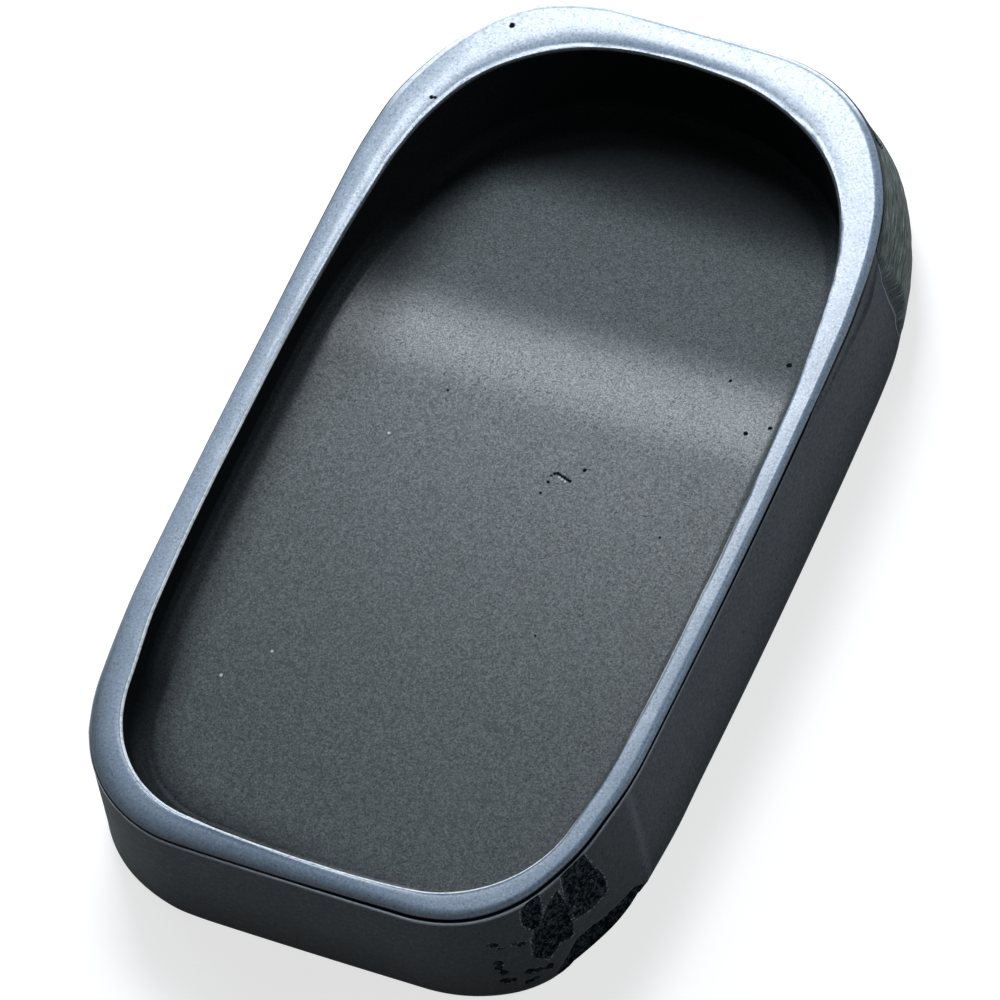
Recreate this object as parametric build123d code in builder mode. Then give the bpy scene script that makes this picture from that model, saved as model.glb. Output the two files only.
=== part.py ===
from build123d import *
from math import atan2, degrees
import os

os.makedirs("parts", exist_ok=True)

# An ink stone carved from one block of slate: a flat-bottomed body with sawn sides, a rolled
# rim, and a well with a level grinding field near the writer and a pond at the far end.
# +Y runs to the far end, +Z is up, and the origin is the middle of the underside. Millimetres.

# The block at its underside
base_length = 135.4
base_width = 76.8
base_side_bow = 1.7
end_bow = 0.35
base_near_left_radius = 19.5
base_near_right_radius = 22.0
base_far_right_radius = 29.0
base_far_left_radius = 25.0
base_edge_break = 0.6

# The shoulder, where the sawn side stops under the rim
stone_height = 19.4
rim_height = 1.1
side_flare = 1.15
shoulder_side_bow = 2.0
shoulder_near_left_radius = 20.0
shoulder_near_right_radius = 20.5
shoulder_far_right_radius = 25.0
shoulder_far_left_radius = 25.5

# The rim, set back from the shoulder by a fine ledge, with its outer edge rolled over
rim_ledge = 0.3
rim_roll = 0.9

# The mouth of the well, which is the inner edge of the rim
rim_width_side = 3.2
rim_width_near = 3.3
rim_width_far = 5.4
mouth_side_bow = 4.4
mouth_near_bow = 2.9
mouth_far_bow = 2.0
mouth_taper = 0.85
mouth_near_radius = 17.5
mouth_far_half_flat = 7.05
mouth_edge_break = 0.2

# The carved floor: a level field, a rounded crest, a slope, and the bottom of the pond
field_depth = 5.6
pond_depth = 13.6
pond_length = 10.7
slope_run = 34.5
crest_radius = 70.0
slope_foot_radius = 12.0
wall_lean = 5.0
floor_cove = 2.4

# Corners that split along the grain: the way each break faces, as an angle from +X, and how
# deep it bites at the underside. Each one runs out just under the shoulder.
near_break_facing = -25.0
near_break_bite = 1.2
near_flake_facing = -47.0
near_flake_bite = 0.8
far_break_facing = 15.0
far_break_bite = 0.6
break_runout = 0.15

# How far a cutting shape runs past what it cuts
overrun = 3.0

# A face of the carved space is floor where more than this share of its normal points down
wall_share = 0.7

# Shares of an edge's length at which an outline's reach is measured
reach_shares = [step / 16 for step in range(17)]

shoulder_height = stone_height - rim_height
shoulder_length = base_length - 2 * side_flare
shoulder_width = base_width - 2 * side_flare
mouth_length = shoulder_length - rim_width_near - rim_width_far
mouth_width = shoulder_width - 2 * rim_width_side
mouth_middle = (rim_width_near - rim_width_far) / 2
mouth_far_radius = mouth_width / 2 - mouth_far_half_flat
mouth_radii = (mouth_near_radius, mouth_near_radius, mouth_far_radius, mouth_far_radius)
base_radii = (
    base_near_left_radius, base_near_right_radius, base_far_right_radius, base_far_left_radius,
)
shoulder_radii = (
    shoulder_near_left_radius, shoulder_near_right_radius,
    shoulder_far_right_radius, shoulder_far_left_radius,
)
rim_radii = [radius - rim_ledge for radius in shoulder_radii]


def bowed_outline(length, width, middle, side_bow, near_bow, far_bow, taper, radii):
    """A face inside four shallow arcs, with rounded corners.

    The arcs reach the whole length and width. At the corners each side has come in by its
    bow, and by the taper less at the near end and more at the far end. The radii are those
    of the near left, near right, far right and far left corners.
    """
    near_half = width / 2 - side_bow + taper
    far_half = width / 2 - side_bow - taper
    near_end = middle - length / 2
    far_end = middle + length / 2
    near_left = (-near_half, near_end + near_bow)
    near_right = (near_half, near_end + near_bow)
    far_right = (far_half, far_end - far_bow)
    far_left = (-far_half, far_end - far_bow)
    with BuildSketch() as outline:
        with BuildLine():
            ThreePointArc(near_left, (0, near_end), near_right)
            ThreePointArc(near_right, (width / 2, middle), far_right)
            ThreePointArc(far_right, (0, far_end), far_left)
            ThreePointArc(far_left, (-width / 2, middle), near_left)
        make_face()
        for corner, radius in zip((near_left, near_right, far_right, far_left), radii):
            fillet(outline.vertices().sort_by_distance(corner)[0], radius)
    return outline.sketch


def reach(outline, outward):
    """How far an outline stands from the stone's axis in one direction."""
    return max((edge @ share).dot(outward) for edge in outline.edges() for share in reach_shares)


def break_plane(facing, bite):
    """The plane of a break that runs out under the shoulder and bites in at the underside."""
    outward = Vector(1, 0, 0).rotate(Axis.Z, facing)
    across = Vector(0, 1, 0).rotate(Axis.Z, facing)
    top = reach(shoulder, outward) + break_runout
    foot = reach(underside, outward) - bite
    lean = degrees(atan2(top - foot, shoulder_height))
    normal = outward.rotate(Axis((0, 0, 0), across), lean)
    return Plane(origin=outward * foot, x_dir=across, z_dir=normal)


underside = bowed_outline(
    base_length, base_width, 0, base_side_bow, end_bow, end_bow, 0, base_radii,
)
shoulder = bowed_outline(
    shoulder_length, shoulder_width, 0, shoulder_side_bow, end_bow, end_bow, 0, shoulder_radii,
)
rim = bowed_outline(
    shoulder_length - 2 * rim_ledge, shoulder_width - 2 * rim_ledge, 0,
    shoulder_side_bow, end_bow, end_bow, 0, rim_radii,
)
mouth = bowed_outline(
    mouth_length, mouth_width, mouth_middle, mouth_side_bow, mouth_near_bow, mouth_far_bow,
    mouth_taper, mouth_radii,
)

# The space that is carved out: the mouth run down with leaning walls and stopped by the floor,
# then coved where the walls meet the floor
with BuildPart() as well:
    with BuildSketch(Plane.XY.offset(stone_height)):
        add(mouth)
    extrude(amount=-stone_height, taper=wall_lean)
    with BuildSketch(Plane.YZ) as above_floor:
        near_end = -shoulder_length / 2
        far_end = shoulder_length / 2
        slope_foot_y = mouth_middle + mouth_length / 2 - pond_length
        crest = (slope_foot_y - slope_run, stone_height - field_depth)
        slope_foot = (slope_foot_y, stone_height - pond_depth)
        with BuildLine():
            Polyline(
                (near_end, stone_height + overrun),
                (near_end, stone_height - field_depth),
                crest,
                slope_foot,
                (far_end, stone_height - pond_depth),
                (far_end, stone_height + overrun),
                close=True,
            )
        make_face()
        fillet(above_floor.vertices().sort_by_distance(crest)[0], crest_radius)
        fillet(above_floor.vertices().sort_by_distance(slope_foot)[0], slope_foot_radius)
    extrude(amount=base_width / 2, both=True, mode=Mode.INTERSECT)
    floor = well.faces().filter_by(lambda face: face.normal_at().Z < -wall_share)
    walls = ShapeList(face for face in well.faces() if face not in floor)
    fillet([edge for edge in floor.edges() if edge in walls.edges()], floor_cove)

# The stone: flaring sides, split corners, a rim on the shoulder, and the well taken out
with BuildPart() as ink_stone:
    with BuildSketch(Plane.XY):
        add(underside)
    with BuildSketch(Plane.XY.offset(shoulder_height)):
        add(shoulder)
    loft(ruled=True)
    split(bisect_by=break_plane(near_break_facing, near_break_bite), keep=Keep.BOTTOM)
    split(bisect_by=break_plane(near_flake_facing, near_flake_bite), keep=Keep.BOTTOM)
    split(bisect_by=break_plane(far_break_facing, far_break_bite), keep=Keep.BOTTOM)
    chamfer(ink_stone.faces().sort_by(Axis.Z)[0].edges(), base_edge_break)
    with BuildSketch(Plane.XY.offset(shoulder_height)):
        add(rim)
    extrude(amount=rim_height)
    fillet(ink_stone.faces().sort_by(Axis.Z)[-1].edges(), rim_roll)
    add(well.part, mode=Mode.SUBTRACT)
    rim_top = ink_stone.faces().filter_by(Plane.XY).sort_by(Axis.Z)[-1]
    chamfer(rim_top.inner_wires()[0].edges(), mouth_edge_break)

ink_stone.part.label = "ink_stone"
export_step(ink_stone.part, "parts/ink_stone.step")
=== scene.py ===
# %% [markdown]
# # An ink stone carved from slate
# The stone is one block with a sawn outside, a rolled rim, and a well with a level field, a slope and a
# pond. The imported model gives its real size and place, and this script gives it the surface that the block
# has: a worn edge round the well, a groove under the rim, split corners and the grain of the slate. Lengths
# are in millimetres until Blender gets them, and only the lamps and the studio floor are given in metres.

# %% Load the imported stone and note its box
import math
import bpy
import numpy as np
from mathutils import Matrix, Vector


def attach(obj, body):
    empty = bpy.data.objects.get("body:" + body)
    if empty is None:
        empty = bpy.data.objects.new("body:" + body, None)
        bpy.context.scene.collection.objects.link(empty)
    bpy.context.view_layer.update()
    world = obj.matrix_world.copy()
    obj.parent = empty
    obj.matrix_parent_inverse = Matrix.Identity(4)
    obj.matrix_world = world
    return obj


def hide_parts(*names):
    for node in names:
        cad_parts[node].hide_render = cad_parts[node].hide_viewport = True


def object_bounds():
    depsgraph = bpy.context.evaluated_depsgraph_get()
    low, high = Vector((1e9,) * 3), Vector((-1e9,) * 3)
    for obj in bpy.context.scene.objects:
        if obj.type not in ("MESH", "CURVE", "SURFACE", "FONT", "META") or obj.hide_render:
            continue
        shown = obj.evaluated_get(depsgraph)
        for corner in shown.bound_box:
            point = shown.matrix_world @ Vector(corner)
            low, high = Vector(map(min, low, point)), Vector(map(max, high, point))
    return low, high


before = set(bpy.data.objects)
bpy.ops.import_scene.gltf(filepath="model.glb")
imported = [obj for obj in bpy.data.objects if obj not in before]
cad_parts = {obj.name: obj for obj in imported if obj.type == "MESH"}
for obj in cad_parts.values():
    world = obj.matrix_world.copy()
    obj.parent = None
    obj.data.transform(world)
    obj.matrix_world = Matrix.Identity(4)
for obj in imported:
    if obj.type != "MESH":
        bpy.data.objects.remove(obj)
cad_low, cad_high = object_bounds()
MM = 0.001
stone_length, stone_width, stone_height = ((high - low) / MM for low, high in zip(cad_low, cad_high))
print(f"stone {stone_length:.1f} x {stone_width:.1f} x {stone_height:.1f} mm")

# %% [markdown]
# The camera comes first, because how much detail each face needs depends on how it is seen. It stands far
# off with a long lens, as for a catalogue picture, and it is rolled, so that the stone lies aslant in the
# frame. A Track To constraint would aim it, but a roll is easier to see as three axes put straight into a
# matrix: the image's right, the image's up, and the direction back to the camera.

# %% The camera, from its bearing, height, roll and distance
camera_bearing = math.radians(41.199)
camera_elevation = math.radians(57.675)
camera_roll = math.radians(-20.005)
camera_distance = 1153.5
aim_point = np.array([3.71, -7.68, stone_height])
lens_length = 324
sensor_width = 36


def camera_axes(bearing, elevation, roll):
    """Right, up and back directions: a level camera's axes, turned about its line of sight by the roll."""
    level = np.array([math.cos(bearing), math.sin(bearing), 0])
    outwards = np.array([math.sin(bearing), -math.cos(bearing), 0])
    back = math.cos(elevation) * outwards + np.array([0, 0, math.sin(elevation)])
    right = math.cos(roll) * level + math.sin(roll) * np.cross(back, level)
    return right, np.cross(back, right), back


def add_camera():
    """A camera whose matrix has the three axes as its columns and its place as the last one."""
    right, up, back = camera_axes(camera_bearing, camera_elevation, camera_roll)
    place = (aim_point + camera_distance * back) * MM
    camera = bpy.data.objects.new("camera", bpy.data.cameras.new("camera"))
    camera.matrix_world = [[*right, 0], [*up, 0], [*back, 0], [*place, 1]]
    camera.data.lens = lens_length
    camera.data.sensor_width = sensor_width
    bpy.context.scene.collection.objects.link(camera)
    bpy.context.scene.camera = camera
    return place


print("camera at", add_camera().round(3), "m")

# %% [markdown]
# Three plan curves rule the stone: the underside, the shoulder under the rim, and the mouth of the well.
# Each is a rounded oblong with four shallow arcs for sides, as the mason draws it with a template. A Bezier
# curve could carry them, but arcs worked out from their sagitta and corner radii stay true to the block.

# %% Circles and arcs
arc_steps = 60


def circle_through(first, middle, last):
    """Centre and radius of a circle: the point where the chords' perpendicular bisectors meet."""
    points = np.array([first, middle, last], float)
    chords = np.diff(points, axis=0)
    halfway = (points[1:] + points[:-1]) / 2
    centre = np.linalg.solve(chords, (chords * halfway).sum(1))
    return centre, np.linalg.norm(points[0] - centre)


def arc(centre, start, end):
    """Points at even angles from start towards end, on the circle about centre."""
    turns = [math.atan2(*(point - centre)[::-1]) for point in (start, end)]
    sweep = (turns[1] - turns[0] + math.pi) % (2 * math.pi) - math.pi
    angle = turns[0] + sweep * np.linspace(0, 1, arc_steps, endpoint=False)
    return centre + np.linalg.norm(start - centre) * np.stack([np.cos(angle), np.sin(angle)], 1)


def fillet_centre(side, next_side, radius, corner):
    """The point that lies a radius inside both side circles, on the side of the corner."""
    (centre, size), (next_centre, next_size) = side, next_side
    span = next_centre - centre
    apart = np.linalg.norm(span)
    along = ((size - radius) ** 2 - (next_size - radius) ** 2 + apart ** 2) / (2 * apart)
    off = math.sqrt((size - radius) ** 2 - along ** 2)
    across = np.array([-span[1], span[0]]) / apart
    meetings = [centre + along * span / apart + sign * off * across for sign in (1, -1)]
    return min(meetings, key=lambda place: np.linalg.norm(place - corner))


print("arcs of", arc_steps, "steps")

# %% [markdown]
# An outline takes its circles in turn. Each side's circle goes through two corners and the middle of the
# side, each corner gets a smaller circle that touches both sides, and the arcs between the touching points
# make the curve.

# %% The three outlines
def outline(length, width, middle, side_bow, near_bow, far_bow, taper, radii):
    """A rounded oblong: four bowed sides through their corners, each corner rounded by its radius.

    The radii are those of the near left, near right, far right and far left corners.
    """
    near_half, far_half = width / 2 - side_bow + taper, width / 2 - side_bow - taper
    near, far = middle - length / 2, middle + length / 2
    corners = np.array([
        (-near_half, near + near_bow), (near_half, near + near_bow),
        (far_half, far - far_bow), (-far_half, far - far_bow),
    ])
    crowns = [(0, near), (width / 2, middle), (0, far), (-width / 2, middle)]
    sides = [circle_through(corners[k], crowns[k], corners[(k + 1) % 4]) for k in range(4)]
    rounds = []
    for k in range(4):
        centre = fillet_centre(sides[k - 1], sides[k], radii[k], corners[k])
        ways = [(centre - c, c, size) for c, size in (sides[k - 1], sides[k])]
        rounds.append((centre, *(c + way / np.linalg.norm(way) * size for way, c, size in ways)))
    parts = []
    for k in range(4):
        parts.append(arc(*rounds[k]))
        parts.append(arc(sides[k][0], rounds[k][2], rounds[(k + 1) % 4][1]))
    return np.concatenate(parts)


base_plan = outline(
    length=135.38, width=76.76, middle=0, side_bow=1.7, near_bow=0.35, far_bow=0.35, taper=0,
    radii=(19.5, 22.0, 29.0, 25.0),
)
shoulder_plan = outline(
    length=133.1, width=74.5, middle=0, side_bow=2.0, near_bow=0.35, far_bow=0.35, taper=0,
    radii=(20.0, 20.5, 25.0, 25.5),
)
mouth_plan = outline(
    length=124.4, width=68.1, middle=-1.05, side_bow=4.4, near_bow=2.9, far_bow=2.0, taper=0.85,
    radii=(17.5, 17.5, 27.0, 27.0),
)
print("mouth", np.ptp(mouth_plan, axis=0).round(2), "mm")

# %% [markdown]
# The whole stone is one closed surface with two parameters. One runs round the stone and one runs along its
# section, from the middle of the underside, up the side, over the rim and down to the middle of the field.
# Plain polar angles would crowd the corners of so long a shape, so the rays start from a spine: a line down
# the middle, with a fan of rays at each end. A ray's place round the stone is its station, in millimetres
# along a track of two sides and two half circles. The rays stand closer together at the corners.

# %% Stations round the stone
spine_half = 29.0
fan_radius = 37.0
half_fan = math.pi * fan_radius
round_length = 4 * spine_half + 2 * half_fan
side_ray_gap = 1.0
corner_ray_gap = 0.36
end_ray_gap = 0.62
corner_share = 0.34
corner_blend = 0.08
fan_samples = 2000


def fan_stations():
    """Stations over one end: rays spread by their gaps, which are wider at the middle of the end."""
    fine = np.linspace(0, half_fan, fan_samples)
    middle = np.clip((0.5 - np.abs(fine / half_fan - 0.5) - corner_share) / corner_blend, 0, 1)
    gap = corner_ray_gap + (end_ray_gap - corner_ray_gap) * middle
    count = np.cumsum(1 / gap) * fine[1]
    return np.interp(np.arange(round(count[-1])) * count[-1] / round(count[-1]), count, fine)


left_start = 2 * spine_half + half_fan
near_start = 4 * spine_half + half_fan
side_stations = np.arange(0, 2 * spine_half, side_ray_gap)
stations = np.concatenate([
    side_stations, 2 * spine_half + fan_stations(), left_start + side_stations, near_start + fan_stations(),
])
print(len(stations), "rays round a track of", round(round_length, 1), "mm")

# %% [markdown]
# Each ray needs the point of the spine that it starts from and the way it goes. Its reach is how far along
# it a plan curve crosses, which is read off the curve's own points, turned into stations and distances.

# %% Rays from the spine
on_right = stations < 2 * spine_half
on_left = (stations >= left_start) & (stations < near_start)
at_far_half = stations < 3 * spine_half + half_fan
ray_angle = (stations - np.where(at_far_half, 2, 4) * spine_half) / fan_radius
ray_angle = np.where(on_right, 0, np.where(on_left, math.pi, ray_angle))
ray = np.stack([np.cos(ray_angle), np.sin(ray_angle)])
end_y = np.where(at_far_half, spine_half, -spine_half)
side_y = np.where(on_right, stations - spine_half, left_start + spine_half - stations)
foot_y = np.where(on_right | on_left, side_y, end_y)


def station_and_reach(points):
    """Stations of plan points, and their distances from the spine: polar, about its nearest point."""
    x, y = points.T
    beyond = y - np.clip(y, -spine_half, spine_half)
    angle = np.arctan2(beyond, x) % (2 * math.pi)
    station = np.where(x > 0, spine_half + y, left_start + spine_half - y)
    station = np.where(beyond > 0, 2 * spine_half + fan_radius * angle, station)
    station = np.where(beyond < 0, 4 * spine_half + fan_radius * angle, station)
    return station % round_length, np.hypot(x, beyond)


def reach_of(plan):
    """How far a plan curve stands from the spine along each ray."""
    station, distance = station_and_reach(plan)
    order = np.argsort(station)
    return np.interp(stations, station[order], distance[order], period=round_length)


print("the mouth is at most", reach_of(mouth_plan).max().round(1), "mm off the spine")

# %% [markdown]
# No carved stone follows its template. A few sizes therefore change from place to place, and each is given at
# some stations and eased between them. Sculpting would do as well, but it could not be read or changed
# afterwards. The first three tables say how far the mouth, the shoulder and the underside stray.

# %% How far the outlines stray
ease_length = 5.0
track_gap = 0.25


def around(*pairs):
    """A value at each ray: straight runs between (station, value) pairs, averaged over a short length."""
    track = np.arange(0, round_length, track_gap)
    at, values = np.array(pairs, float).T
    order = np.argsort(at)
    line = np.interp(track, at[order], values[order], period=round_length)
    half = round(ease_length / (2 * track_gap))
    wrapped = np.concatenate([line[-half:], line, line[:half]])
    eased = np.convolve(wrapped, np.ones(2 * half + 1) / (2 * half + 1), "valid")
    return np.interp(stations, track, eased, period=round_length)


mouth_stray = around(
    (0, .3), (14, .1), (36, .1), (48, .3), (60, .15), (66, -.1), (74, -.5), (86, -.5), (98, -.9), (108, -.6),
    (116, -.2), (126, -.45), (140, -.25), (147, -.1), (156, -.5), (162, -.55), (168, -.2), (190, -.3),
    (210, -.5), (228, -.2), (242, -.05), (252, -.8), (262, -.2), (276, 0), (292, .1), (306, .4), (318, .05),
    (330, -.1), (337, .45),
)
shoulder_stray = around(
    (0, 0), (60, 0), (68, -.5), (74, -1.3), (82, -1.5), (88, -1.1), (96, -.4), (106, 0), (132, .1), (140, .5),
    (147, -.2), (153, -.5), (160, 0), (167, .5), (180, .3), (196, .1), (216, .2), (238, .4), (245, .1),
    (253, -.6), (262, -.1), (280, .1), (300, .1), (313, .1), (319, -.5), (324, -1.35), (330, -1.25),
    (335, -.3), (339, .05),
)
base_stray = around(
    (0, -.25), (60, -.2), (66, -.4), (71, -1.4), (82, -1.5), (90, -.6), (104, 0), (236, 0), (250, -.5),
    (270, -.5), (275, 0), (295, -.1), (306, -.2), (317, .1), (321, -.6), (324, -1.1), (328, -.9), (332, -.7),
    (337, -.35), (342, -.1),
)
print("the mouth strays by up to", np.abs(mouth_stray).max().round(2), "mm")

# %% [markdown]
# The rim is where the eye rests. Its groove, its rolled outer edge and its crown all change on the way
# round, and along the right side the roll is cut nearly straight, as a bevel. At the far right the shoulder
# under it is chamfered too.

# %% Sizes of the groove, the roll and the crown
groove_width = around(
    (0, .3), (42, .35), (60, .3), (90, .3), (270, .3), (290, .4), (306, .6), (318, .6), (332, .5), (340, .3),
)
chamfer_drop = around((0, 0), (44, 0), (50, 1.2), (60, 2.2), (65, 3.4), (69, 2.0), (74, .3), (346, 0))
chamfer_width = around((0, 0), (44, 0), (50, .25), (60, .5), (65, .7), (70, .3), (74, 0), (346, 0))
roll_width = around(
    (0, .85), (12, .72), (24, .62), (38, .5), (60, .5), (68, .55), (76, .65), (84, .65), (90, .4), (96, .3),
    (136, .3), (145, .7), (156, .9), (170, 1.1), (200, 1.2), (230, 1.1), (244, 1.5), (252, 2.3), (262, 2.9),
    (276, 3.0), (286, 2.5), (296, 1.8), (310, 1.2), (318, .6), (328, .5), (336, .8),
)
crown_out = around(
    (0, .02), (56, .02), (70, .06), (86, .16), (96, .26), (108, .30), (120, .27), (132, .19), (145, .2),
    (156, .28), (170, .17), (180, .12), (200, .05), (230, .03), (250, .04), (276, .05), (300, .05),
    (324, .03),
)
crown_in = around(
    (0, .02), (60, .02), (76, .06), (84, .16), (100, .30), (116, .34), (136, .36), (156, .26), (180, .13),
    (204, .08), (250, .04), (300, .035),
)
bevel_share = around((0, .1), (28, .3), (44, .9), (80, 1), (100, .4), (140, .2), (240, 0), (330, 0))
print("roll", roll_width.min().round(2), "to", roll_width.max().round(2), "mm")

# %% [markdown]
# The floor of the well is a level field, a rounded crest, a slope and the bottom of the pond. It is the
# same all across, so it needs only a height for each place along the stone: straight runs joined by curves.

# %% Height of the floor along the stone
field_height = stone_height - 5.6
pond_height = stone_height - 13.6
crest_y = 16.9
slope_foot_y = 50.5
crest_radius = 70.0
slope_foot_radius = 12.0
slope_angle = math.atan2(field_height - pond_height, slope_foot_y - crest_y)


def bend(past, radius):
    """0 before a corner and the distance past it after, joined by a parabola as long as the corner's arc."""
    half = radius * math.tan(slope_angle / 2)
    return np.where(past < half, np.clip(past + half, 0, None) ** 2 / (4 * half), past)


def floor_height(y):
    """The field's height, less the slope's fall from the crest on, and level again from the slope's foot."""
    run = bend(y - crest_y, crest_radius) - bend(y - slope_foot_y, slope_foot_radius)
    return field_height - math.tan(slope_angle) * run


print("slope of", round(math.degrees(slope_angle), 1), "degrees")

# %% [markdown]
# Split slate is rough in a way of its own: flat flakes with thin edges, and a skin that weathered along
# the grain. One noise function gives both, stretched along different axes.

# %% Noise that is the same on every run
lattice_side = 48
lattice = np.random.default_rng(7).random((lattice_side,) * 3)
layer_shift = 5


def noise(x, y, z, size):
    """Values from 0 to 1: random numbers at lattice points a size apart, blended smoothly along each axis."""
    at = np.stack(np.broadcast_arrays(x, y, z)) / size
    low = np.floor(at).astype(int)
    share = at - low
    share = share * share * (3 - 2 * share)
    total = 0
    for corner in np.ndindex(2, 2, 2):
        weight = np.prod([share[k] if side else 1 - share[k] for k, side in enumerate(corner)], axis=0)
        place = tuple((low[k] + side) % lattice_side for k, side in enumerate(corner))
        total = total + weight * lattice[place]
    return total


def rough(x, y, z, size, layers=3):
    """Noise from -1 to 1, and again at half the size and strength for each further layer."""
    total = sum((2 * noise(x + layer_shift * k, y, z, size / 2 ** k) - 1) / 2 ** k for k in range(layers))
    return total / sum(1 / 2 ** k for k in range(layers))


print("noise spans", lattice.min().round(3), "to", lattice.max().round(3))

# %% [markdown]
# Two more helpers shape the damage. One eases a value in or out, and one says how far a place lies inside a
# polygon, which is how a flake gets an outline of its own.

# %% Eased steps and polygons
def step(low, high, values):
    """0 at low, 1 at high and a smooth rise between; low may be the larger."""
    share = np.clip((values - low) / (high - low), 0, 1)
    return share * share * (3 - 2 * share)


def within(corners, across, along):
    """Distance inside a polygon, less than 0 outside: the least to its edges, signed by a crossing count."""
    corners = np.array(corners, float)
    least = np.full(across.shape, np.inf)
    crossings = np.zeros(across.shape, int)
    for (a, b), (c, d) in zip(corners, np.roll(corners, -1, 0)):
        dot = (across - a) * (c - a) + (along - b) * (d - b)
        share = np.clip(dot / ((c - a) ** 2 + (d - b) ** 2), 0, 1)
        least = np.minimum(least, np.hypot(across - a - share * (c - a), along - b - share * (d - b)))
        rises = (b > along) != (d > along)
        crossings += rises & (across < a + (along - b) * (c - a) / (d - b if d != b else 1))
    return np.where(crossings % 2 == 1, least, -least)


unit_square = [(0, 0), (1, 0), (1, 1), (0, 1)]
print("a unit square's middle lies", within(unit_square, np.full(1, 0.5), 0.5), "inside")

# %% [markdown]
# The section is a stack of rings, each a reach and a height at every ray. They lie close together where the
# form turns. The first ones run from the middle of the underside to the foot and up the side, which is ruled
# straight from the underside's curve to the shoulder's.

# %% Rings of the underside and the side
rim_height = 1.1
edge_break = 0.6
shoulder_round = 0.1
underside_shares = (0, 0.35, 0.7, 0.93, 1)
side_ring_count = 40
shoulder_height = stone_height - rim_height
base_reach = reach_of(base_plan) + base_stray
shoulder_reach = reach_of(shoulder_plan) + shoulder_stray
rings = []


def add_ring(zone, ring_reach, ring_height):
    """One closed ring: its zone's name, and its reach and height at every ray."""
    rings.append((zone, ring_reach + 0 * stations, ring_height + 0 * stations))


def turn(count):
    """Quarter-turn angles, without the first."""
    return np.linspace(0, math.pi / 2, count + 1)[1:]


def side_reach(height):
    """Ruled straight from the underside's curve to the shoulder's."""
    return base_reach + (shoulder_reach - base_reach) * height / shoulder_height


for share in underside_shares:
    add_ring("underside", (side_reach(edge_break) - edge_break) * share, 0)
for angle in turn(3):
    foot_reach = side_reach(edge_break) - edge_break * (1 - math.sin(angle))
    add_ring("underside", foot_reach, edge_break * (1 - math.cos(angle)))
side_top = shoulder_height - shoulder_round - chamfer_drop
for share in np.linspace(0, 1, side_ring_count + 1)[1:]:
    height = edge_break + (side_top - edge_break) * share
    add_ring("side", side_reach(height), height)
print(len(rings), "rings up to the shoulder")

# %% [markdown]
# Over the shoulder comes the groove, then the rolled edge of the rim, its gently crowned top, and the edge
# round the mouth that hands and brushes have worn. A ray meets the curves at a slight angle, so a width
# measured along it is longer: the width divided by the cosine of that angle.

# %% Rings of the groove, the roll and the rim
groove_depth = 0.35
roll_foot = 0.12
bevel_flatness = 0.75
crown_share = 0.45
worn_width = 0.36
worn_drop = 0.22
mouth_reach = reach_of(mouth_plan) + mouth_stray
slant = np.gradient(shoulder_reach, stations) * np.where(on_right | on_left, 1, fan_radius / shoulder_reach)
across_ray = np.sqrt(1 + slant ** 2)
rim_reach = shoulder_reach - groove_width * across_ray
crease_reach = rim_reach - roll_width * across_ray
groove_height = shoulder_height - groove_depth
groove_profile = [
    ("shoulder", shoulder_reach - 0.06, side_top + shoulder_round),
    ("shoulder", shoulder_reach - 0.1 - chamfer_width, shoulder_height + 0.02),
    ("groove", rim_reach + 0.08, groove_height),
    ("groove", rim_reach - 0.04, groove_height),
    ("groove", rim_reach - 0.02, shoulder_height + 0.04),
]
for ring in groove_profile:
    add_ring(*ring)
roll_low = shoulder_height + roll_foot
roll_high = stone_height - crown_out
for angle in turn(9):
    bent = np.array([1 - math.cos(angle), math.sin(angle)])[:, None]
    straight = angle / (math.pi / 2)
    out, rise = bent + (straight - bent) * bevel_share * bevel_flatness
    add_ring("roll", rim_reach + (crease_reach - rim_reach) * out, roll_low + (roll_high - roll_low) * rise)
top_width = mouth_reach + worn_width - crease_reach
for share in np.linspace(0, 1, 10)[1:]:
    outer_drop = crown_out * (1 - share) ** 2
    inner_drop = crown_in * (max(share - crown_share, 0) / (1 - crown_share)) ** 2
    add_ring("rim", crease_reach + top_width * share, stone_height - outer_drop - inner_drop)
for share, fall in ((0.8, 0.08), (0.45, 0.35), (0.12, 1)):
    add_ring("worn", mouth_reach + worn_width * share, stone_height - crown_in - worn_drop * fall)
print(len(rings), "rings up to the mouth")

# %% [markdown]
# The wall leans in as it goes down and meets the floor in a cove. The floor's rings shrink evenly to the
# spine, and each takes its height from the floor's own curve, so the crest and the slope come out the same
# on every ray.

# %% Rings of the well
wall_lean = math.tan(math.radians(5))
floor_cove = 2.4
lip_height = 0.12
wall_top = stone_height - crown_in - worn_drop - lip_height


def wall_reach(height):
    """The mouth's reach, less the lean times the depth."""
    return mouth_reach - (stone_height - height) * wall_lean * across_ray


def floor_below(distance):
    """Height of the floor on each ray, this far from the spine."""
    return floor_height(foot_y + ray[1] * distance)


cove_top = floor_below(mouth_reach - floor_cove) + floor_cove
for share in np.linspace(0, 1, 12):
    height = wall_top - (wall_top - cove_top) * share
    add_ring("wall", wall_reach(height), height)
for angle in turn(8):
    inward = wall_reach(cove_top) - floor_cove * (1 - math.cos(angle)) * across_ray
    add_ring("cove", inward, floor_below(inward) + floor_cove * (1 - math.sin(angle)))
floor_edge = wall_reach(cove_top) - floor_cove * across_ray
for share in np.linspace(0, 1, 43)[1:]:
    inner = floor_edge * (1 - share)
    add_ring("floor", inner, floor_below(inner))
zones = np.array([zone for zone, _, _ in rings])
reach = np.array([ring_reach for _, ring_reach, _ in rings])
z = np.array([ring_height for _, _, ring_height in rings])
print(reach.shape, "rings by rays,", 2 * reach.size, "triangles")

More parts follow.
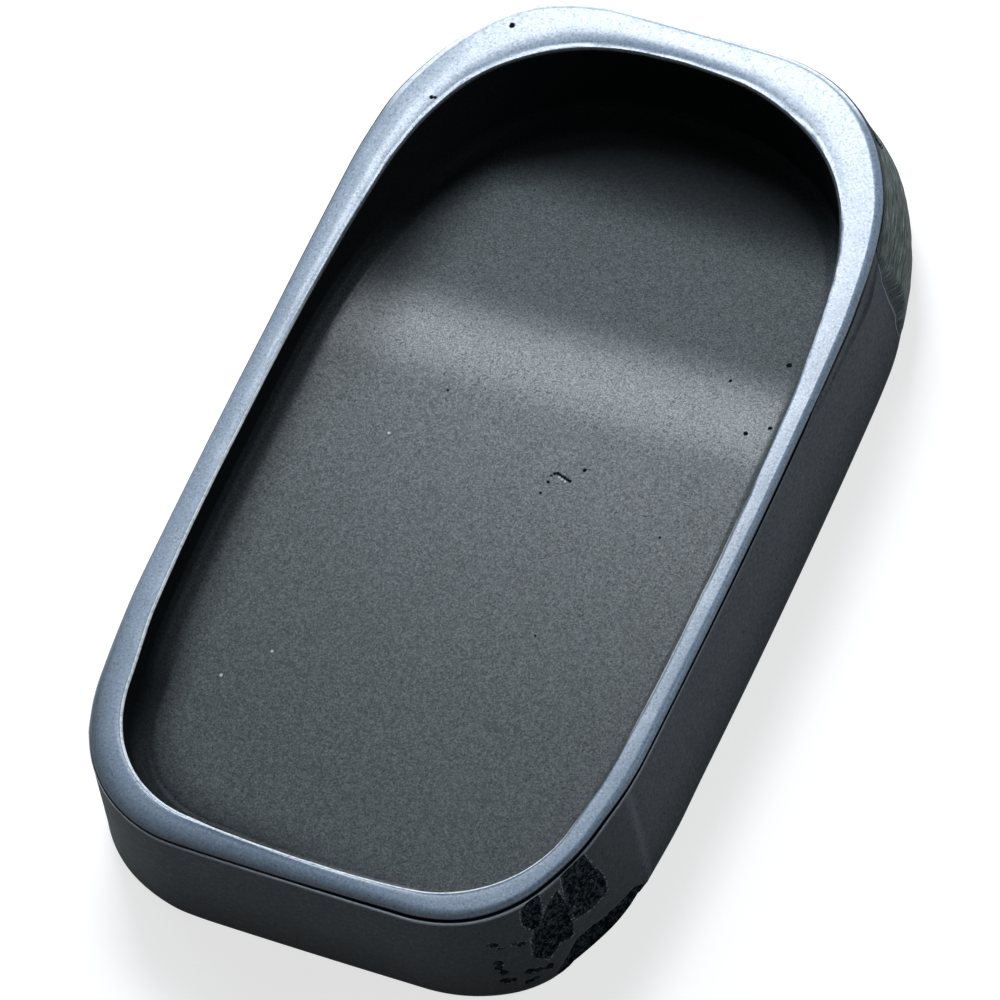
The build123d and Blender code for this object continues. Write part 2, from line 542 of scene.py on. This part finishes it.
# %% [markdown]
# At three corners the block split before it was carved. The far right one kept its weathered skin, which
# bulges between two hollows. The near right one broke back under the shoulder and lost its foot. These
# shapes belong to places on the side, so each is a mask of station and height that pushes the surface in or
# out along its ray.

# %% Skin and broken foot
skin_bulge = np.interp(z, [0, 3, 6, 9, 12, 15, 18.3], [0, 0.85, 1.45, 1.65, 1.25, 0.55, 0])
skin_start = np.interp(z, [3.2, 8.9, 15.3, 18.3], [68.9, 69.5, 70.1, 70.9])
foot_stations = [318.5, 321, 323, 325, 329, 332, 334.5]
foot_tops = [0, 2.4, 4.3, 4.2, 3.5, 2.7, 0]
loss_stations = [318.5, 323, 325, 328, 332, 334.5]
losses = [0, 0.5, 0.8, 0.6, 0.4, 0]


def zone_mask(*names):
    """True for every ring of the named zones, as a column that spreads over the rays."""
    return np.isin(zones, names)[:, None]


on_side = zone_mask("side")
here = np.broadcast_to(stations, z.shape)
skin = step(-0.2, 1.4, here - skin_start) * (1 - step(88, 101, here)) * on_side
foot_line = np.interp(here, foot_stations, foot_tops)
foot_loss = np.interp(here, loss_stations, losses)
broken_foot = step(-0.3, 0.5, foot_line - z) * ~zone_mask("floor") * (foot_loss > 0)
print("the foot lost up to", foot_loss.max().round(2), "mm")

# %% [markdown]
# Above the broken foot lie three dark flakes with thin pale edges and a scatter of pits. There is one small
# chip at the far right, and two more pits at the near left. Each flake is a polygon of (station, height)
# corners and each pit a disc, and all of them share one field: the distance inside the nearest edge, held
# well below 0 where there is none.

# %% Flakes and pits
flakes = [
    [(320.9, 18.4), (319.5, 18.4), (318.5, 17.4), (318.0, 14.8), (318.2, 13.4), (318.9, 12.0), (319.6, 12.3),
     (320.4, 14.0), (320.8, 16.1)],
    [(323.0, 16.1), (321.5, 15.2), (320.6, 13.5), (319.2, 12.1), (318.3, 10.1), (317.9, 6.4), (319.5, 4.6),
     (321.0, 6.1), (322.8, 5.5), (323.2, 7.4), (323.5, 11.4)],
    [(325.5, 18.4), (327.6, 18.0), (327.8, 15.7), (328.9, 11.0), (328.6, 7.8), (326.8, 7.6), (325.7, 7.6),
     (323.7, 8.3), (323.6, 11.2), (323.6, 14.3), (323.9, 18.4)],
    [(87.3, 18.4), (87.2, 15.8), (88.4, 13.6), (90.2, 15.8), (90.5, 18.4)],
]
pits = [
    (314.3, 12.1, 0.7), (314.9, 10.9, 0.5), (314.2, 7.8, 0.7), (314.0, 6.6, 0.6), (314.4, 5.5, 0.6),
    (314.2, 3.5, 0.7), (315.0, 3.3, 0.55), (316.9, 4.0, 0.7), (317.9, 3.6, 0.6), (319.1, 3.1, 0.7),
    (316.5, 1.8, 0.6), (317.4, 2.1, 0.5), (317.2, 10.2, 0.65), (316.5, 11.0, 0.4), (258.0, 11.5, 0.3),
    (246.5, 7.0, 0.25),
]
pit_margin = 0.1
flake_depth = 0.35
nowhere = -9.0
chip = np.full(z.shape, nowhere)
for corners in flakes:
    chip = np.maximum(chip, within(corners, here, z))
for at, height, size in pits:
    inside = size - np.hypot(here - at, z - height)
    chip = np.maximum(chip, np.where(inside > -pit_margin, inside, nowhere))
chip = np.where(on_side, chip, nowhere)
print("flakes reach", chip.max().round(2), "mm inside their edges")

# %% [markdown]
# Now the rings become points. The side gets the unevenness of a sawn face, the skin and the flakes get a
# rougher one, and the worn edge wanders a little. Everything is done on whole arrays, then handed to the
# mesh at once: a loop over ninety thousand points would be slow and no clearer.

# %% Points, with the unevenness of the slate
side_rest = 0.06
top_sink = 0.04


def in_plan(distance):
    """Where points at these distances along the rays lie, seen from above."""
    return ray[0] * distance, foot_y + ray[1] * distance


smooth_x, smooth_y = in_plan(reach)
sawn = 0.05 * rough(smooth_x, smooth_y, z * 0.4, 6) + 0.03 * rough(smooth_x * 2, smooth_y * 2, z, 2.5)
ridged = 0.22 * rough(smooth_x, smooth_y, z * 0.25, 2.2) + 0.2 * rough(smooth_x, smooth_y, z * 0.6, 5)
broken = np.clip(step(-0.4, 0.4, chip) + broken_foot, 0, 1)
near_left = step(243, 250, here) * (1 - step(262, 270, here)) * on_side
worn = zone_mask("worn")
outward = skin_bulge * skin - foot_loss * broken_foot - flake_depth * step(-0.1, 0.7, chip)
outward = outward + on_side * (sawn - side_rest) + ridged * (0.5 * skin + 0.35 * near_left)
outward = outward + 0.3 * rough(smooth_x, smooth_y, z * 0.8, 1.8) * broken * (on_side | (z < edge_break))
outward = outward + worn * 0.08 * rough(smooth_x, smooth_y, 0, 3)
x, y = in_plan(np.maximum(reach + outward * (z > 0), 0))
on_top = zone_mask("roll", "rim") & (z > shoulder_height + 0.2)
uneven_z = z - on_top * top_sink * (1 + rough(x, y, 0, 7))
points = np.stack([x, y, uneven_z], -1)
print("points reach", np.abs(points).max((0, 1)).round(3), "mm")

# %% [markdown]
# Both ends of the section lie on the spine, where the rays of a fan meet in one point and the rays of the two
# sides meet in pairs. Those points are shared, so the surface is closed with no seam and no hole.

# %% Numbering the points
ring_count, ray_count = reach.shape
spine_points = np.rint((foot_y + spine_half) / side_ray_gap).astype(int)
spine_count = spine_points.max() + 1
inner_rings = ring_count - 2
index = np.empty((ring_count, ray_count), int)
index[0] = spine_points
index[1:-1] = spine_count + np.arange(inner_rings * ray_count).reshape(inner_rings, ray_count)
index[-1] = spine_count + inner_rings * ray_count + spine_points
spine_y = np.arange(spine_count) * side_ray_gap - spine_half
one_ray = np.unique(spine_points, return_index=True)[1]


def spine_row(height):
    """Points on the spine at a height for each."""
    return np.stack([0 * spine_y, spine_y, height + 0 * spine_y], 1)


def shared(values):
    """One value a point, from one for each ring and ray: every spine point takes that of one of its rays."""
    values = np.broadcast_to(values, (ring_count, ray_count))
    return np.concatenate([values[0][one_ray], values[1:-1].ravel(), values[-1][one_ray]])


places = np.concatenate([spine_row(0), points[1:-1].reshape(-1, 3), spine_row(floor_height(spine_y))])
print(spine_count, "points on the spine at each end of the section")

# %% [markdown]
# Neighbouring rings and rays make quads. Where two corners of one fall on the same spine point it is a
# triangle instead, so no face has a side of no length.

# %% The closed mesh
next_index = np.roll(index, -1, 1)
quads = np.stack([index[:-1], next_index[:-1], next_index[1:], index[1:]], -1).reshape(-1, 4)
first_pair = quads[:, 0] == quads[:, 1]
last_pair = quads[:, 2] == quads[:, 3]
faces = quads[~first_pair & ~last_pair].tolist()
faces += quads[first_pair][:, [0, 2, 3]].tolist() + quads[last_pair][:, [0, 1, 2]].tolist()
mesh = bpy.data.meshes.new("carved_slate")
mesh.from_pydata((places * MM).tolist(), [], faces)
mesh.shade_smooth()
print(len(places), "points,", len(faces), "faces")

# %% [markdown]
# The finish changes with the form: polish on the rim, a pale edge round the mouth that is partly wear and
# partly painted highlight, painted highlights on the far roll and on the ledge under the groove, painted
# shade in the groove, and breaks. The material could guess these from height and slope, but the rings already
# know what they are, so each place gets marks, which are numbers that the material reads by their names. The
# first ones are those of the rim and its edges. Most are weaker at some stations, where the real edge is
# fresher, and one darkens and dulls the outer part of the rim from the far left round to the near end.

# %% Marks of the rim and its edges
def mark(name, values):
    """A number at every point, which the material reads by its name."""
    attribute = mesh.attributes.new(name, "FLOAT", "POINT")
    attribute.data.foreach_set("value", shared(values).astype(np.float32))


ring_number = np.arange(ring_count)[:, None]
rim_end = np.flatnonzero(zones == "rim")[-1]
side_end = np.flatnonzero(zones == "side")[-1]
on_rim = zone_mask("roll", "rim")
# Painted highlight: the rolled edge along the far end is whitened through the worn mark.
roll_highlight = around((0, 0), (86, 0), (94, .8), (140, .8), (158, .5), (168, 0))
# The pale edge round the mouth is partly real wear and partly painted highlight.
mouth_wear_and_highlight = around(
    (0, .5), (20, .5), (36, .3), (62, .15), (80, .1), (174, .1), (196, .5), (215, .75), (232, 1), (304, 1),
    (320, .7), (335, .25),
)
# Painted shade: the groove under the rim is darkened nearly to black.
groove_shade = around(
    (0, 1), (62, 1), (70, 0), (94, 0), (102, 1), (236, 1), (246, .45), (288, .45), (302, 1),
)
# Painted highlight: a pale line on the ledge under the groove.
ledge_highlight = around(
    (0, .3), (45, 0), (236, 0), (246, .6), (262, .6), (290, 1), (318, 1), (324, .3), (340, .5),
)
# Darkens and dulls the outer part of the rim from the far left round to the near end.
dark_outer_rim = around(
    (140, 0), (160, .25), (190, .3), (206, .15), (230, .1), (242, .5), (252, .9), (276, .7), (300, .65),
    (314, .3), (322, 0),
)
mark("polish", on_rim * 1.0)
mark("worn", zone_mask("roll") * roll_highlight + worn * mouth_wear_and_highlight)
mark("groove", zone_mask("groove") * groove_shade)
mark("ledge", (zone_mask("shoulder") + 0.7 * (ring_number == side_end)) * ledge_highlight)
mark("dark_outer_rim", dark_outer_rim * on_rim * (1 - step(rim_end - 17, rim_end - 6, ring_number)))
print("grip dulls the rim by up to", dark_outer_rim.max().round(2))

# %% [markdown]
# The marks of the side follow its damage, and one paints shade on it. The ridge and the chips are marked with
# distances, which the material cuts off where it likes. The fold is a faint light line where the sawn face
# meets the split corner, and painted shade darkens the split corner and the foot of the side.

# %% Marks of the side
ridge = here - np.interp(z, [3.2, 5.6, 8.9, 12.9, 15.3, 18.3], [68.9, 69.4, 69.5, 69.6, 70.1, 70.7])
fold = np.abs(here - np.interp(z, [2, 8, 14, 18], [335.0, 335.7, 336.3, 336.6]))
split_shade = around((302, 0), (316, 1.2), (333, 1.2), (338, 0))
foot_chip = np.where(broken_foot > 0, broken_foot * 1.2 - 0.6, -2)
mark("ridge", np.where(on_side, np.clip(ridge, -2, 2), 2.0))
mark("fold", on_side * step(1.1, 0, fold))
mark("skin", skin + 0.3 * near_left)
# Painted shade: the side darkens towards the bottom and over the split near-right corner.
mark("foot", on_side * np.maximum(step(10, 0.5, z), split_shade))
mark("chip", np.maximum(np.clip(chip, -2, 2), foot_chip))
print("skin covers", (skin > 0.5).sum(), "points")

# %% [markdown]
# In the well, painted shade darkens the pond in place of the far wall's shadow, and the floor beside the left
# wall in place of that wall's shadow, and the walls and the cove are darkened as painted shade and have no
# polish. This painted shade runs out from the cove over the first rings of the floor, so that it has no edge.

# %% Marks of the well
in_well = zone_mask("floor", "cove", "wall")
floor_start = np.flatnonzero(zones == "floor")[0]
# Painted shade of the walls and the cove, eased out over the first rings of the floor.
cove_shade_falloff = (1 - step(floor_start - 2, floor_start + 5, ring_number)) * zone_mask("floor")
floor_edge_shade = around(
    (0, 0), (76, 0), (104, 1), (172, 1), (188, .5), (236, .5), (250, .8), (285, .5), (310, 0),
)
cove_shade = around(
    (0, .15), (66, .15), (80, .8), (170, 1), (188, .7), (236, .7), (250, 1), (285, .8), (325, .2),
)
mark("well", in_well * 1.0)
mark("wall", zone_mask("wall") + zone_mask("cove") * cove_shade + cove_shade_falloff * floor_edge_shade)
# Painted shade: the pond is darkened and loses its gloss, in place of the far wall's shadow.
mark("ink", in_well * step(8.4, 6.0, z))
# Painted shadow: the floor beside the left wall is darkened and loses its gloss, in place of that wall's
# shadow.
mark("left_wall_shade", step(12, 2, x + 31) * step(-5, 30, y) * zone_mask("floor"))
print("the mesh carries", sum(item.data_type == "FLOAT" for item in mesh.attributes), "marks")

# %% [markdown]
# Materials are node trees, and sums of nodes read badly as nodes. So a small class wraps a socket: plain
# arithmetic on it adds Math nodes.

# %% Sockets that can be added and multiplied
class Wire:
    """A socket's output. Arithmetic with numbers or other wires adds Math nodes and gives a new wire."""

    def __init__(self, graph, socket):
        self.graph = graph
        self.socket = socket

    def maths(self, operation, *others):
        return self.graph.node("Math", {"operation": operation}, dict(enumerate((self, *others))))

    def reflected(self, operation, other):
        return self.graph.node("Math", {"operation": operation}, {0: other, 1: self})

    def __add__(self, other):
        return self.maths("ADD", other)

    def __radd__(self, other):
        return self.reflected("ADD", other)

    def __sub__(self, other):
        return self.maths("SUBTRACT", other)

    def __rsub__(self, other):
        return self.reflected("SUBTRACT", other)

    def __mul__(self, other):
        return self.maths("MULTIPLY", other)

    def __rmul__(self, other):
        return self.reflected("MULTIPLY", other)

    def rise(self, low, high):
        """0 where the wire is at low, 1 at high, smooth between; low may be the larger."""
        inputs = {"Value": self, "From Min": low, "From Max": high}
        return self.graph.node("MapRange", {"interpolation_type": "SMOOTHSTEP"}, inputs)

    def at_least(self, other):
        return self.maths("MAXIMUM", other)


print("wires ready")

# %% [markdown]
# Every other node comes from one method of a graph, which is the tree of a material or of the world. The
# patterns are noise on Object coordinates, which stay with the stone when it moves.

# %% A tree of nodes
class Graph:
    """The tree of a new material or world, emptied, with one method that adds any node."""

    def __init__(self, owner):
        self.owner = owner
        owner.use_nodes = True
        self.tree = owner.node_tree
        self.tree.nodes.clear()

    def node(self, kind, settings=None, inputs=None, output=0):
        """Adds a node: its settings first, then values or wires into its sockets."""
        node = self.tree.nodes.new("ShaderNode" + kind)
        for key, value in (settings or {}).items():
            setattr(node, key, value)
        for key, value in (inputs or {}).items():
            if isinstance(value, Wire):
                self.tree.links.new(value.socket, node.inputs[key])
            else:
                node.inputs[key].default_value = value
        return Wire(self, node.outputs[output]) if node.outputs else None

    def mark(self, name):
        """A number that the mesh carries at its points."""
        return self.node("Attribute", {"attribute_name": name}, output="Fac")

    def mix(self, share, first, second):
        """A colour between two colours."""
        return self.node("Mix", {"data_type": "RGBA"}, {"Factor": share, 6: first, 7: second}, 2)

    def layered(self, tone, *layers):
        """A colour with further colours laid over it, each by its share."""
        for share, colour in layers:
            tone = self.mix(share, tone, colour)
        return tone

    def stretched(self, scale):
        """Object coordinates in metres, times a scale for each axis."""
        place = self.node("TexCoord", output="Object")
        return self.node("VectorMath", {"operation": "MULTIPLY"}, {0: place, 1: scale})

    def noise(self, scale, detail):
        """Noise from 0 to 1, with so many blotches a metre along each axis."""
        return self.node("TexNoise", {}, {"Vector": self.stretched(scale), "Scale": 1.0, "Detail": detail})


print("graph ready")

# %% [markdown]
# Slate is a fine grey mud turned to stone: dark and dull where it was cut, with glints of mica, and nearly
# glossy where wax or handling has filled it. So there is one stone, and what changes is how light its dust
# makes it and how much polish lies over it. First come the marks of the mesh and the patterns: a broad cloud,
# three sizes of grain, the fine lines of the sanding along the field, and the layers of the split skin.

# %% Marks and patterns of the slate
slate = Graph(bpy.data.materials.new("slate"))
polish, wear_and_highlight_mark, groove_shade_mark = (slate.mark(name) for name in ("polish", "worn", "groove"))
ledge_highlight_mark, dark_outer_rim_mark, ridge_mark = (slate.mark(name) for name in ("ledge", "dark_outer_rim", "ridge"))
fold_mark, skin_mark, foot_shade_mark, chip_mark = (slate.mark(name) for name in ("fold", "skin", "foot", "chip"))
well_mark, wall_shade_mark, pond_shade_mark, left_wall_shade_mark = (slate.mark(name) for name in ("well", "wall", "ink", "left_wall_shade"))
cloud = slate.noise((60, 60, 60), 3)
mottle = slate.noise((1700, 1700, 1700), 3)
speckle = slate.noise((3100, 3100, 3100), 2)
grain = slate.noise((4600, 4600, 4600), 2)
sanding = slate.noise((1900, 70, 1900), 2)
streak = slate.noise((420, 420, 3600), 3)
ragged = slate.noise((1700, 1700, 1500), 4)
pores = speckle.rise(0.41, 0.35)


def grey(value, blue=1.0):
    """A stone grey, a little bluer than neutral."""
    return (value, value * (1 + 0.14 * blue), value * (1 + 0.26 * blue), 1)


print("stone grey", np.round(grey(0.1), 3))

# %% [markdown]
# Each region has a colour of its own: the ground floor of the well is a little green, the sawn side is a
# plain blue grey, and the waxed rim is bluer and lighter, partly in its own tone and partly as a painted
# reflection of the light. Every one is two tones mixed by the cloud, with the grain laid over it. Darker
# layers then paint shade at the foot of the side and the split corner, in the pond, on the walls and cove and
# beside the left wall, and one more darkens the outer part of the rim.

# %% Colours of the floor, the side and the rim
floor_tone = slate.layered(
    slate.mix(cloud, (0.019, 0.027, 0.029, 1), (0.029, 0.038, 0.040, 1)),
    (mottle.rise(0.35, 0.75) * 0.3, (0.085, 0.100, 0.098, 1)),
)
side_tone = slate.layered(
    slate.mix(cloud, grey(0.038), grey(0.057)),
    (mottle.rise(0.4, 0.8) * 0.35, grey(0.13, 0.7)),
    (foot_shade_mark * 0.4, grey(0.012)),
    (fold_mark * 0.35, grey(0.14)),
)
# The rim is lighter and bluer than the rest, partly its own tone and partly a painted reflection of the
# light.
rim_tone_and_reflection = slate.layered(
    slate.mix(cloud, (0.088, 0.135, 0.195, 1), (0.104, 0.156, 0.225, 1)),
    (mottle.rise(0.3, 0.7) * 0.35, (0.17, 0.23, 0.31, 1)),
    (speckle.rise(0.56, 0.68) * 0.25, (0.34, 0.40, 0.48, 1)),
    (speckle.rise(0.42, 0.32) * 0.35, (0.040, 0.060, 0.085, 1)),
    (dark_outer_rim_mark, (0.012, 0.024, 0.030, 1)),
)
# Painted shade of the pond, the walls and cove, and the floor beside the left wall.
painted_shade = (pond_shade_mark * 0.8).at_least(wall_shade_mark * 0.85).at_least(left_wall_shade_mark * 0.8)
stone_tone = slate.layered(
    slate.mix(well_mark, side_tone, floor_tone),
    (grain.rise(0.46, 0.66) * 0.6 * well_mark, grey(0.085)),
    (painted_shade, grey(0.008)),
    (polish, rim_tone_and_reflection),
    (pores * (0.7 - polish * 0.4), grey(0.010)),
)
print(len(slate.tree.nodes), "nodes for the plain stone")

# %% [markdown]
# Damage and painted light are laid over that. The skin shows the slate's layers as pale streaks, and a chip
# is nearly black with a broken pale line round it, which is a painted highlight. The groove gets painted
# shade and the ledge under it a painted highlight. The edge of the mouth is almost white, partly as wear and
# partly as painted highlight, and the far roll is whitened as painted highlight. The chip mark is a distance,
# so adding noise to it before it is cut off makes the chip's edge ragged.

# %% Colours of the skin, the chips and the worn edge
skin_tone = slate.layered(
    slate.mix(streak.rise(0.30, 0.62), (0.016, 0.023, 0.021, 1), (0.110, 0.132, 0.122, 1)),
    (streak.rise(0.58, 0.70) * grain.rise(0.35, 0.6), (0.32, 0.36, 0.35, 1)),
)
chip_edge = chip_mark + (ragged - 0.5) * 0.9
in_chip = chip_edge.rise(-0.05, 0.05)
# Painted highlight: a broken pale line round each chip.
chip_edge_highlight = chip_edge.rise(-0.30, -0.12) * (1 - in_chip) * speckle.rise(0.48, 0.62)
chip_tone = slate.layered(
    slate.mix(ragged.rise(0.40, 0.70), (0.004, 0.006, 0.007, 1), grey(0.045)),
    (speckle.rise(0.62, 0.70) * 0.6, grey(0.20)),
)
crack = (ridge_mark + (ragged - 0.5) * 0.12).maths("ABSOLUTE")
# Whitens the edge of the mouth, partly as wear and partly as painted highlight, and the far roll as painted
# highlight.
wear_and_highlight = wear_and_highlight_mark.rise(0.30, 0.70) * (0.6 + 0.4 * ragged.rise(0.3, 0.6))
aged_tone = slate.layered(
    stone_tone,
    (skin_mark, skin_tone),
    (ledge_highlight_mark * (0.4 + ragged * 0.6), grey(0.70)),
    (groove_shade_mark, grey(0.010)),
    (chip_edge_highlight * 0.8, grey(0.24)),
    (in_chip, chip_tone),
    (crack.rise(0.10, 0.04) * 0.6, grey(0.28)),
    (wear_and_highlight, (0.74, 0.77, 0.80, 1)),
)
print(len(slate.tree.nodes), "nodes with the damage")

# %% [markdown]
# A few flecks are large enough to know by place: dark pinholes on the floor and the rim, a hooked scratch
# near the middle with a painted glint beneath it, and three pale grains. An image could carry them, but a
# spot worked out from a distance stays sharp at any size.

# %% Flecks, a hooked scratch and its painted glint
pinholes = [
    (10.2, 2.5, 0.28), (6.3, -0.6, 0.25), (6.0, -2.4, 0.2), (28.6, 26.3, 0.4), (30.7, 15.9, 0.3),
    (28.0, 14.1, 0.35), (22.6, 21.3, 0.28), (23.6, -3.7, 0.22), (-24.6, 59.6, 0.45), (-30.4, 46.0, 0.3),
    (-29.9, 46.1, 0.25), (-12.0, 8.0, 0.2), (14.0, -22.0, 0.2),
]
hook_line = [
    (6.3, 0.4, 0.2), (6.6, 0.8, 0.24), (7.0, 1.0, 0.24), (7.4, 0.9, 0.24), (7.8, 0.75, 0.24),
    (8.2, 0.65, 0.24), (8.6, 0.5, 0.24), (9.0, 0.4, 0.24),
]
# Painted highlights: the glint beneath the hooked scratch.
painted_glints = [(7.9, 0.35, 0.2), (8.4, 0.15, 0.2), (7.4, 0.55, 0.18)]
pale_grains = [(-17.9, -34.8, 0.2), (-22.8, -40.1, 0.25), (-16.8, -0.3, 0.2)]


def spot(x_mm, y_mm, radius):
    """1 inside a small round mark on the stone's top, 0 outside: the distance in plan over the radius."""
    place = slate.stretched((1 / MM / radius, 1 / MM / radius, 0))
    middle = (x_mm / radius, y_mm / radius, 0)
    apart = slate.node("VectorMath", {"operation": "DISTANCE"}, {0: place, 1: middle}, "Value")
    return (apart + (ragged - 0.5) * 0.8).rise(1.1, 0.8)


def any_spot(spots):
    """1 inside any of the spots: the largest of their values."""
    first, *others = (spot(*values) for values in spots)
    for other in others:
        first = first.at_least(other)
    return first


hook = any_spot(hook_line)
dark_flecks = any_spot(pinholes).at_least(hook)
pale_grains_and_glints = (any_spot(pale_grains) * 0.7).at_least(any_spot(painted_glints) * (1 - hook) * 0.45)
tone = slate.layered(aged_tone, (dark_flecks, grey(0.006)), (pale_grains_and_glints, grey(0.4)))
print(len(pinholes), "pinholes,", len(slate.tree.nodes), "nodes")

# %% [markdown]
# The polish is the shader's coat, which is how a thin clear layer over a rough body is usually made. It is
# thick on the rim and hardly there in the well, where grains of mica still catch the light, and pores, the
# painted shade of the pond and flecks break it. Chips, the groove, the walls and the painted shadow beside
# the left wall have no sheen at all, and there a bare diffuse shader takes over.

# %% Relief, gloss and the finished slate
relief = mottle * 0.5 - pores * 0.6 + sanding * well_mark * 0.7
relief = relief * (1 - polish * 0.8) + streak * skin_mark * 3.0 + ragged * in_chip * 4.0
bump = slate.node("Bump", {}, {"Strength": 0.6, "Distance": 0.00006, "Height": relief})
rim_gloss = polish * (0.27 + 0.16 * grain.rise(0.3, 0.7) + 0.14 * speckle.rise(0.35, 0.65))
well_gloss = well_mark * (0.05 + 0.03 * mottle + 0.12 * grain.rise(0.25, 0.75) + 0.05 * sanding)
# The pond's painted shade, the darkened outer rim and the skin take gloss away.
kept_gloss = (1 - pond_shade_mark) * (1 - dark_outer_rim_mark * 0.6) * (1 - skin_mark * 0.6)
unbroken = (1 - pores * (0.55 - polish * 0.35)) * (1 - dark_flecks)
waxed = slate.node("BsdfPrincipled", {}, {
    "Base Color": tone, "Roughness": 0.95 - polish * 0.50, "IOR": 1.5, "Specular IOR Level": 0.25,
    "Coat Weight": (rim_gloss + well_gloss + 0.01) * kept_gloss * unbroken,
    "Coat Roughness": 0.24, "Coat IOR": 1.65, "Normal": bump,
})
bare = slate.node("BsdfDiffuse", {}, {"Color": tone, "Normal": bump})
bareness = in_chip.at_least(groove_shade_mark).at_least(dark_flecks).at_least(wall_shade_mark)
bareness = bareness.at_least(pond_shade_mark * 0.5).at_least(left_wall_shade_mark * 0.85)
slate.node("OutputMaterial", {}, {"Surface": slate.node("MixShader", {}, {0: bareness, 1: waxed, 2: bare})})
print("slate has", len(slate.tree.nodes), "nodes")

# %% [markdown]
# The mesh becomes an object at the origin, with its place in its points. It rides on the imported model's one
# body, stands for the imported stone, and takes its finish from the slate material.

# %% The stone
stone = bpy.data.objects.new("carved_slate", mesh)
bpy.context.scene.collection.objects.link(stone)
mesh.materials.append(slate.owner)
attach(stone, "root")
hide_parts("ink_stone")
print("stone", [round(side, 4) for side in stone.dimensions], "m")

# %% [markdown]
# The floor is plain and pale. A catalogue picture has a pure white ground, and lighting a floor until it
# clips would wash out the stone. Instead the camera and the reflections see it nearly white, still with the
# stone's shadow, while every other ray meets a pale grey that sends a natural amount of light back up the
# sides.

# %% A pale floor
floor_half = 3.0
white_glow = 0.72
glowing_tone = (0.36, 0.36, 0.36, 1)
pale_tone = (0.8, 0.8, 0.8, 1)


def seen_by(graph):
    """1 for rays from the camera and for the ones that a mirror or a lens sends on, 0 for all others."""
    kinds = ("Is Camera Ray", "Is Glossy Ray", "Is Transmission Ray")
    camera_ray, glossy_ray, clear_ray = (graph.node("LightPath", output=kind) for kind in kinds)
    return camera_ray.at_least(glossy_ray).at_least(clear_ray)


floor_mesh = bpy.data.meshes.new("studio_floor")
square = np.array([(-1, -1, 0), (1, -1, 0), (1, 1, 0), (-1, 1, 0)])
floor_mesh.from_pydata((square * floor_half).tolist(), [], [(0, 1, 2, 3)])
floor = bpy.data.objects.new("studio_floor", floor_mesh)
bpy.context.scene.collection.objects.link(floor)
ground = Graph(bpy.data.materials.new("pale_floor"))
matt = ground.node("BsdfDiffuse", {}, {"Color": pale_tone})
white = ground.node("Emission", {}, {"Color": (1, 1, 1, 1), "Strength": white_glow})
lit = ground.node("BsdfDiffuse", {}, {"Color": glowing_tone})
both = ground.node("AddShader", {}, {0: white, 1: lit})
surface = ground.node("MixShader", {}, {0: seen_by(ground), 1: matt, 2: both})
ground.node("OutputMaterial", {}, {"Surface": surface})
floor_mesh.materials.append(ground.owner)
print("floor", 2 * floor_half, "m square")

# %% [markdown]
# Three soft lamps light the stone. The key stands behind and to the left, so that the crest and the far rim
# throw its light towards the camera. A larger one, lower and dimmer, softens the shadows of the walls, and a
# dim card on the right lifts the near sides.

# %% Three soft lamps
lamps = {
    "key": dict(way=(-0.302, 0.568, 0.766), distance=0.70, side=0.24, power=6.1, color=(0.87, 0.93, 1.0)),
    "broad": dict(way=(-0.70, 0.50, 0.50), distance=0.80, side=0.50, power=2.0, color=(0.82, 0.90, 1.0)),
    "card": dict(way=(0.80, 0.35, 0.42), distance=0.60, side=0.36, power=0.7, color=(0.82, 0.90, 1.0)),
}
lit_point = np.array([0, 0.016, 0.014])


def add_lamp(name, way, distance, side, power, color):
    """A square lamp that faces the crest from a given way and distance."""
    lamp = bpy.data.objects.new(name, bpy.data.lights.new(name, "AREA"))
    lamp.data.shape = "SQUARE"
    lamp.data.size = side
    lamp.data.energy = power
    lamp.data.color = color
    back = np.array(way) / np.linalg.norm(way)
    across = np.cross([0, 0, 1], back)
    across /= np.linalg.norm(across)
    place = lit_point + distance * back
    lamp.matrix_world = [[*across, 0], [*np.cross(back, across), 0], [*back, 0], [*place, 1]]
    bpy.context.scene.collection.objects.link(lamp)
    return place


for name, values in lamps.items():
    print(name, "lamp at", add_lamp(name, **values).round(3), "m")

# %% [markdown]
# A faint bluish sky fills in the rest. The camera and the reflections see it white, as they see the floor.

# %% The sky
sky_strength = 0.06
sky_tone = (0.90, 0.97, 1.0, 1)
sky = Graph(bpy.data.worlds.new("studio_sky"))
bpy.context.scene.world = sky.owner
dim = sky.node("Background", {}, {"Color": sky_tone, "Strength": sky_strength})
plain = sky.node("Background", {}, {"Color": (1, 1, 1, 1), "Strength": 1.0})
sky.node("OutputWorld", {}, {"Surface": sky.node("MixShader", {}, {0: seen_by(sky), 1: dim, 2: plain})})
bpy.context.scene.view_settings.view_transform = "Standard"
print("sky at", sky_strength)
